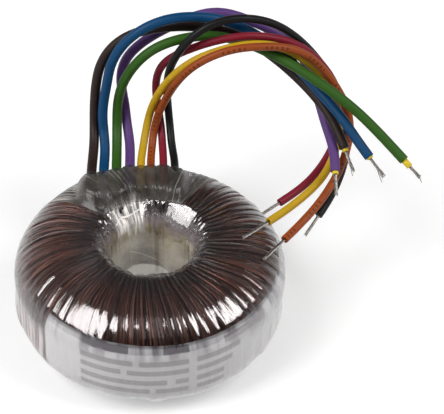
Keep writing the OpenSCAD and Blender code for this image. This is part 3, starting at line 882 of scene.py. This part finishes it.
class Finish(Nodes):
    """A material with a Principled shader, whose plain values are set on its own sockets."""

    def __init__(self, name, colour, roughness, **sockets):
        self.material = bpy.data.materials.new(name)
        self.material.use_nodes = True
        super().__init__(self.material.node_tree)
        self.shader = self.tree.nodes["Principled BSDF"]
        self.feed("Base Color", colour)
        self.feed("Roughness", roughness)
        for label, value in sockets.items():
            self.feed(label.replace("_", " "), value)

    def feed(self, label, value):
        self.put(value, self.shader.inputs[label])

    def drift(self, colour, amount, scale):
        """Base colour that drifts a little, and the drift itself."""
        drift = self.group(cloudy_colour, Color=colour, Amount=amount, Scale=scale)
        self.feed("Base Color", drift["Color"])
        return drift

    def bump(self, height, strength, distance):
        self.feed("Normal", self.fill(self.new("Bump"), Strength=strength, Distance=distance,
                                      Height=height))

    def onto(self, *pieces):
        for piece in pieces:
            piece.data.materials.clear()
            piece.data.materials.append(self.material)
        print("finish", self.material.name, "on", [piece.name for piece in pieces])


# %% [markdown]
# ## Lead insulation
# The leads are jacketed in soft plastic with a low sheen, each in its own colour, and the tone
# is never quite even along an extruded lead. The orange one carries small print, made here as
# plain dark ticks in groups, placed by the length and the turn that the tube stores as UV.
# The yellow inner jackets are a little glossier, and the strands are tinned, so dull silver.

# %% Coloured jackets
LEAD_COLOURS = {"brown": (42, 30, 26), "blue": (0, 64, 106), "green": (46, 88, 20),
                "violet": (90, 60, 120), "yellow": (196, 157, 24), "orange": (150, 70, 24),
                "red": (128, 26, 45), "black": (13, 13, 14)}
TICKS_PER_MM, GROUPS_PER_MM, TICK_SIDE = 0.72, 0.085, 0.72


def add_ticks(plastic, tone):
    """Short dark ticks along one side of a lead, in groups with gaps between."""
    along, turn_share, _ = plastic.split(plastic.new("UVMap").outputs[0])
    step = plastic.math("FRACT", plastic.times(along, TICKS_PER_MM))
    group = plastic.math("FRACT", plastic.times(along, GROUPS_PER_MM))
    ink = plastic.times(plastic.ramp(plastic.apart(step, 0.5), 0.16, 0.22, 1, 0),
                        plastic.ramp(group, 0.55, 0.57, 1, 0),
                        plastic.ramp(plastic.apart(turn_share, TICK_SIDE), 0.05, 0.07, 0.7, 0))
    return plastic.mix(ink, tone, rgb(60, 30, 20))


for colour, jacket in jackets.items():
    plastic = Finish("insulation_" + colour, (0.5, 0.5, 0.5), 0.5, Specular_IOR_Level=0.25)
    drift = plastic.drift(rgb(*LEAD_COLOURS[colour]), 0.18, 160.0)
    if colour == "orange":
        plastic.feed("Base Color", add_ticks(plastic, drift["Color"]))
    plastic.feed("Roughness", plastic.ramp(drift["Value"], 0.3, 0.7, 0.42, 0.58))
    plastic.bump(plastic.group(cloudy_colour, Scale=1400.0)["Value"], 0.12, 0.0002)
    plastic.onto(jacket)

# %% Inner jackets and tinned strands
inner_yellow = Finish("inner_jacket", rgb(225, 195, 30), 0.4)
inner_yellow.drift(rgb(225, 195, 30), 0.15, 900.0)
inner_yellow.onto(*inner_jackets.values())
tin = Finish("tinned_strands", (0.36, 0.34, 0.32), 0.3, Metallic=1.0)
drift = tin.drift((0.36, 0.335, 0.31), 0.4, 1500.0)
tin.feed("Roughness", tin.ramp(drift["Value"], 0.3, 0.7, 0.22, 0.45))
tin.onto(*strands.values())

# %% [markdown]
# ## Winding wire
# Enamelled copper is dark brown under its varnish, with a coppery gleam where a turn catches the
# light. One streak pattern tells fine turns apart, a broad one darkens whole bundles, and a few
# pale hairs are painted highlights. Near the hole the wires lie in each other's shade and lose their colour.

# %% Enamelled wire
wire = Finish("enamelled_wire", (0.03, 0.02, 0.018), 0.3, Metallic=0.55)
fine, broad, hair = wire.streaks(60.0, 0.02), wire.streaks(9.0, 0.03, 7.0), wire.streaks(110.0, 0.015, 11.0)
tone = wire.mix(wire.ramp(fine, 0.4, 0.68), (0.009, 0.0045, 0.0042), (0.155, 0.052, 0.036))
tone = wire.mix(wire.ramp(broad, 0.4, 0.7), tone, (0.040, 0.018, 0.016))
# painted highlights: a few pale hairs along the turns, where single wires would catch a lamp
tone = wire.mix(wire.ramp(hair, 0.62, 0.72, 0, 0.8), tone, (0.26, 0.17, 0.145))
tone = wire.mix(wire.ramp(wire.ring()["Radius"], 16, 24, 0.75, 0), tone, (0.016, 0.0145, 0.0155))
wire.feed("Base Color", tone)
wire.feed("Roughness", wire.ramp(broad, 0.3, 0.7, 0.24, 0.42))
wire.onto(winding)

# %% [markdown]
# ## Clear film
# Polyester film is clear and very smooth, and what shows of it is its mirror image of the lamps.
# So it is glass with a strong index, and fine and broad streaks tilt its surface, which breaks a
# lamp's image into bars. Near the hole the tilt fades, so the flat patch there stays whole.

# %% Clear film
clear = Finish("clear_film", (0.96, 0.965, 0.955), 0.04, Transmission_Weight=1.0, IOR=1.8,
               Specular_Tint=(1.0, 0.95, 0.965))
fine, broad = clear.streaks(75.0, 0.05, 3.0), clear.streaks(11.0, 0.1, 9.0)
uneven = clear.plus(clear.times(fine, 0.12), broad)
clear.bump(clear.times(uneven, clear.ramp(clear.ring()["Radius"], 13, 18, 0.12, 1)), 0.3, 0.0004)
clear.feed("Roughness", clear.ramp(fine, 0.35, 0.75, 0.01, 0.05))
clear.onto(film)

# %% [markdown]
# ## Milky film in the hole
# Many laps of clear film lie on each other in the hole and turn milky: khaki on the wall, lilac
# on the rim, with a painted highlight of pale streaks that fan out at the back and thin light lines
# where a lap ends. All of these are masks of height and angle, mixed one over the other. Low in
# the hole the laps mirror the white floor, which a metallic mask does without a second material.

# %% Milky laps
# angle of the painted highlight that fans out over the back of the rim
GLINT_FAN_ANGLE = 119.0


def lap_edge(look, ring, slope, start, middle, half, strength):
    """A thin light line where a lap of film ends: height plus slope times angle stays the same."""
    line = look.plus(ring["Height"], look.times(ring["Plain Angle"], slope))
    return look.times(look.ramp(look.apart(line, start), 0.10, 0.26, strength, 0),
                      look.ramp(look.apart(ring["Plain Angle"], middle), half, half + 3, 1, 0))


milky = Finish("milky_laps", rgb(150, 142, 124), 0.3, IOR=1.5)
ring, creases = milky.ring(), milky.streaks(17.0, 0.10, 14.0)
streaks, laps = milky.streaks(9.0, 0.16, 2.0), milky.streaks(1.7, 0.34, 6.0)
clouds = milky.group(cloudy_colour, Scale=110.0)["Value"]
khaki = milky.mix(milky.ramp(laps, 0.36, 0.64), rgb(120, 108, 87), rgb(152, 139, 114))
khaki = milky.mix(milky.ramp(clouds, 0.40, 0.75, 0, 0.5), khaki, rgb(222, 214, 200))
lilac = milky.mix(milky.ramp(streaks, 0.35, 0.65), rgb(92, 84, 86), rgb(138, 128, 130))
level = milky.plus(ring["Height"], milky.times(milky.minus(streaks, 0.5), 9.0))
tone = milky.mix(milky.ramp(level, 23, 26), khaki, lilac)
# painted highlight: pale streaks fan out over the back of the rim, where the wrinkled film would mirror a
# lamp
painted_glint_fan = milky.times(milky.ramp(milky.apart(ring["Plain Angle"], GLINT_FAN_ANGLE), 17, 27, 1, 0),
                  milky.ramp(creases, 0.40, 0.60, 0.28, 1), milky.ramp(level, 21.5, 25))
# the painted highlight fan together with a thin light line at a lap's end
white = milky.most(painted_glint_fan, lap_edge(milky, ring, 0.033, 31.65, 117, 21, 0.9))
tone = milky.mix(white, tone, rgb(232, 227, 224))
tone = milky.mix(lap_edge(milky, ring, -0.112, 3.05, 91, 29, 0.6), tone, rgb(222, 214, 202))
off_left = milky.minus(ring["Plain Angle"], 108.0)
bow = milky.plus(ring["Height"], milky.times(off_left, off_left, 0.0009))
pale = milky.ramp(milky.minus(bow, milky.times(laps, 2.0)), 9.6, 10.4, 1, 0)
milky.feed("Base Color", milky.mix(pale, tone, rgb(250, 244, 234)))
milky.feed("Metallic", pale)
milky.feed("Alpha", milky.most(milky.ramp(level, 24.5, 30, 0.96, 0), milky.times(white, 0.9)))
milky.bump(milky.plus(streaks, milky.times(laps, 2.0)), 0.4, 0.0005)
milky.onto(lining)

# %% [markdown]
# ## Cloudy film over the joints
# The last laps over the joints are creased all over and half cloudy: the sleeves and leads below
# show as soft dark shapes. Its alpha follows the same streaks as its tone, so a crease is both
# paler and thicker to look through. The left flank is paler in streaks, and the edge at the hole
# carries the painted highlight that fans out in the hole.

# %% Cloudy film
cloudy = Finish("cloudy_film", rgb(88, 87, 84), 0.25, IOR=1.5)
ring, streaks = cloudy.ring(), cloudy.streaks(7.0, 0.12, 5.0)
hair, creases = cloudy.streaks(42.0, 0.02, 12.0), cloudy.streaks(17.0, 0.10, 14.0)
tone = cloudy.mix(cloudy.ramp(streaks, 0.35, 0.7), rgb(60, 57, 53), rgb(88, 84, 79))
tone = cloudy.mix(cloudy.ramp(hair, 0.60, 0.68, 0, 0.6), tone, rgb(206, 201, 196))
flank = cloudy.times(cloudy.ramp(ring["Plain Angle"], 124, 133), cloudy.ramp(ring["Radius"], 23, 28),
                     cloudy.ramp(hair, 0.42, 0.62, 0.05, 0.75))
tone = cloudy.mix(flank, tone, rgb(214, 208, 203))
# painted highlight: the fan of pale streaks from the hole runs out over the cover's edge
painted_glint_fan = cloudy.times(cloudy.ramp(cloudy.apart(ring["Plain Angle"], GLINT_FAN_ANGLE), 12, 25, 1, 0),
                   cloudy.ramp(ring["Radius"], 14.2, 15.3, 1, 0), cloudy.ramp(creases, 0.42, 0.62, 0.1, 0.6))
cloudy.feed("Base Color", cloudy.mix(painted_glint_fan, tone, rgb(226, 221, 218)))
cloudy.feed("Alpha", cloudy.ramp(streaks, 0.35, 0.72, 0.50, 0.74))
cloudy.bump(streaks, 0.3, 0.0005)
cloudy.onto(cover)

# %% [markdown]
# ## Frosted laps on the wall
# Beside the printed band the laps hide most of the winding and look like frosted glass, streaked
# by the turns below. Over the band they have to be almost clear, so the alpha drops there, and
# it fades out towards the shoulder with a ragged edge.

# %% Frosted laps
frosted = Finish("frosted_laps", rgb(200, 196, 194), 0.3, IOR=1.5)
ring, streaks = frosted.ring(), frosted.streaks(42.0, 0.02, 8.0)
tone = frosted.mix(frosted.ramp(streaks, 0.40, 0.62), rgb(104, 82, 80), rgb(214, 202, 203))
frosted.feed("Base Color", tone)
band_middle, band_half = (BAND_FROM + BAND_TO) / 2 - 360, (BAND_TO - BAND_FROM) / 2
off_band = frosted.apart(ring["Plain Angle"], band_middle)
ragged = frosted.plus(ring["Height"], frosted.times(streaks, 9.0))
frosted.feed("Alpha", frosted.times(frosted.ramp(off_band, band_half + 0.3, band_half + 1.0, 0.08, 1),
                                    frosted.ramp(streaks, 0.36, 0.66, 0.22, 0.74),
                                    frosted.ramp(ragged, 21.5, 27, 1, 0)))
frosted.bump(streaks, 0.3, 0.0004)
frosted.onto(wall_laps)

# %% [markdown]
# ## Print on the band
# The real band carries rows of small print. Here each row is a plain grey bar, so that the band
# reads as printed without saying anything. A bar is a mask: the smallest distance to its four
# sides, turned into ink by a short ramp.

# %% Print bars, as a group
MM_PER_DEGREE = 0.6


def build_print_bar():
    """Ink between two heights in millimetres and two angles in degrees."""
    n, given, out = new_group("print_bar", [("Bottom", FLOAT, 0.0), ("Top", FLOAT, 1.0),
                                            ("From", FLOAT, 0.0), ("To", FLOAT, 1.0)], [("Ink", FLOAT)])
    ring = n.ring()
    height, angle = ring["Height"], ring["Plain Angle"]
    nearest = n.math("MINIMUM", n.minus(height, given["Bottom"]), n.minus(given["Top"], height),
                     n.times(n.minus(angle, given["From"]), MM_PER_DEGREE),
                     n.times(n.minus(given["To"], angle), MM_PER_DEGREE))
    n.put(n.ramp(nearest, 0.0, 0.3), out["Ink"])
    return n.tree


print_bar = build_print_bar()

# %% Printed band
BOLD_ROWS = [(22.6, 24.7, -120, -99), (22.6, 24.7, -85, -73.5)]
FINE_ROWS = [(22.0, 24.0, -58, -37)]
for middle, ends in ((20.2, (-120, -97, -95, -74, -71, -50)), (17.0, (-120, -102, -100, -74, -71, -54)),
                     (13.6, (-120, -83, -80, -74, -71, -58)), (10.6, (-120, -90, -88, -74, -71, -58))):
    FINE_ROWS += [(middle - 1.0, middle + 1.0, ends[i], ends[i + 1]) for i in (0, 2, 4)]
printed = Finish("printed_band", rgb(192, 190, 192), 0.35)


def ink_of(bars, darkness):
    inks = [printed.group(print_bar, Bottom=bottom, Top=top, From=start, To=stop)[0]
            for bottom, top, start, stop in bars]
    return printed.times(printed.most(*inks), darkness)


paper = printed.drift(rgb(192, 190, 192), 0.1, 120.0)["Color"]
shade = printed.streaks(9.0, 0.05, 4.0)
tone = printed.mix(ink_of(FINE_ROWS, 0.60), paper, rgb(70, 67, 70))
tone = printed.mix(ink_of(BOLD_ROWS, 0.82), tone, rgb(42, 40, 42))
# painted shade: the band darkens in streaks towards its top edge
painted_shade_at_top = printed.times(printed.ramp(printed.ring()["Height"], 17.5, 24.0),
                          printed.ramp(shade, 0.40, 0.58, 0.35, 0.95))
printed.feed("Base Color", printed.mix(painted_shade_at_top, tone, rgb(92, 87, 94)))
printed.feed("Roughness", printed.ramp(shade, 0.3, 0.7, 0.28, 0.42))
printed.bump(shade, 0.5, 0.0006)
printed.onto(band)
print("bars of print:", len(BOLD_ROWS) + len(FINE_ROWS))

# %% [markdown]
# ## What lies inside
# The core, the tapes and the inner windings never show, but whoever takes the model apart meets
# them, so they get plain finishes of their own kind: steel, yellow tape and enamelled copper.
# The joints' sleeves are the leads' colours, darkened to about a third.

# %% Inner CAD nodes
TAPE = ((0.77, 0.69, 0.43), 0.4, 0.0)
PRIMARY_COPPER = ((0.30, 0.10, 0.05), 0.35, 0.6)
INNER_LOOKS = {"core": ((0.27, 0.28, 0.30), 0.4, 1.0), "core_insulation": TAPE,
               "interwinding_insulation": TAPE, "primary_winding_1": PRIMARY_COPPER,
               "primary_winding_2": PRIMARY_COPPER,
               "secondary_winding_1": ((0.03, 0.014, 0.011), 0.4, 0.5)}
for node, (colour, roughness, metallic) in INNER_LOOKS.items():
    inner = Finish("inside_" + node, colour, roughness, Metallic=metallic)
    inner.drift(colour, 0.25, 250.0)
    inner.bump(inner.streaks(30.0, 0.02), 0.4, 0.0004)
    inner.onto(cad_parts[node])
for colour, levels in LEAD_COLOURS.items():
    tint = tuple(0.35 * c + 0.01 for c in rgb(*levels))
    sleeve = Finish("shrunk_sleeve_" + colour, tint, 0.5)
    sleeve.drift(tint, 0.4, 500.0)
    sleeve.onto(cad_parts["joint_sleeve_" + colour])
print("inner nodes dressed:", len(INNER_LOOKS) + len(LEAD_COLOURS))

# %% [markdown]
# ## Floor, world and lamps
# A white floor fills the view. The world is white near the horizon and darker overhead, as in a
# studio with a white sweep, so the film mirrors white at its steep sides and stays dark on top.
# What mirrors and glass see of the floor is plain white, with a painted shadow right under the ring.
# Soft boxes at the front left and front right draw the bars of light on the shoulder.

# %% Floor
FLOOR_HALF, FLOOR_DROP = 3, 0.0002
corners = [(x * FLOOR_HALF, y * FLOOR_HALF, 0) for x, y in ((-1, -1), (1, -1), (1, 1), (-1, 1))]
floor_mesh = bpy.data.meshes.new("floor")
floor_mesh.from_pydata(corners, [], [(0, 1, 2, 3)])
floor = bpy.data.objects.new("floor", floor_mesh)
floor.location.z = -FLOOR_DROP
bpy.context.scene.collection.objects.link(floor)
white = Finish("white_floor", (0.86, 0.86, 0.86), 0.9)
ray = white.new("LightPath").outputs
white.feed("Emission Color", (1, 1, 1))
white.feed("Emission Strength", white.times(ray["Is Camera Ray"], 0.34))
reach = white.new("VectorMath", "LENGTH")
white.put(white.where(), reach.inputs[0])
# painted shadow: what mirrors and glass see of the floor is darker right under the ring
mirrored_floor_with_painted_shadow = white.fill(white.new("Emission"),
                      Strength=white.ramp(reach.outputs["Value"], 0.020, 0.034, 0.48, 0.95))
either = white.fill(white.new("MixShader"), white.most(ray["Is Glossy Ray"], ray["Is Transmission Ray"]),
                    white.shader.outputs[0], mirrored_floor_with_painted_shadow)
white.put(either, white.tree.nodes["Material Output"].inputs["Surface"])
white.onto(floor)

# %% World
world = bpy.data.worlds.new("studio")
world.use_nodes = True
bpy.context.scene.world = world
bpy.context.scene.view_settings.view_transform = "Standard"
sky = Nodes(world.node_tree)
_, back, up = sky.split(sky.where("Generated"))
strength = sky.times(sky.ramp(up, 0.12, 0.42, 0.6, 0.06), sky.ramp(back, -0.55, -0.1, 0.15, 1))
sky.fill(sky.tree.nodes["Background"], (1, 1, 1), strength)
print("world nodes:", len(sky.tree.nodes))

# %% Soft boxes
LAMP_TARGET, LAMP_DISTANCE = Vector((0, 0, 0.015)), 0.8


def soft_box(name, direction, width, height, radiance):
    """An area lamp of a given brightness, facing the ring from a direction."""
    data = bpy.data.lights.new(name, "AREA")
    data.shape, data.size, data.size_y = "RECTANGLE", width, height
    data.energy = radiance * math.pi * width * height
    lamp = bpy.data.objects.new(name, data)
    bpy.context.scene.collection.objects.link(lamp)
    direction = Vector(direction).normalized()
    lamp.location = LAMP_TARGET + direction * LAMP_DISTANCE
    lamp.rotation_mode = "QUATERNION"
    lamp.rotation_quaternion = direction.to_track_quat("Z", "Y")


soft_box("soft_box_left", (-0.62, -0.30, 0.72), 0.42, 0.64, 6.2)
soft_box("soft_box_right", (0.64, -0.18, 0.73), 0.28, 0.58, 6.8)
soft_box("soft_box_front", (0.0, -0.42, 0.91), 0.12, 0.58, 0.5)
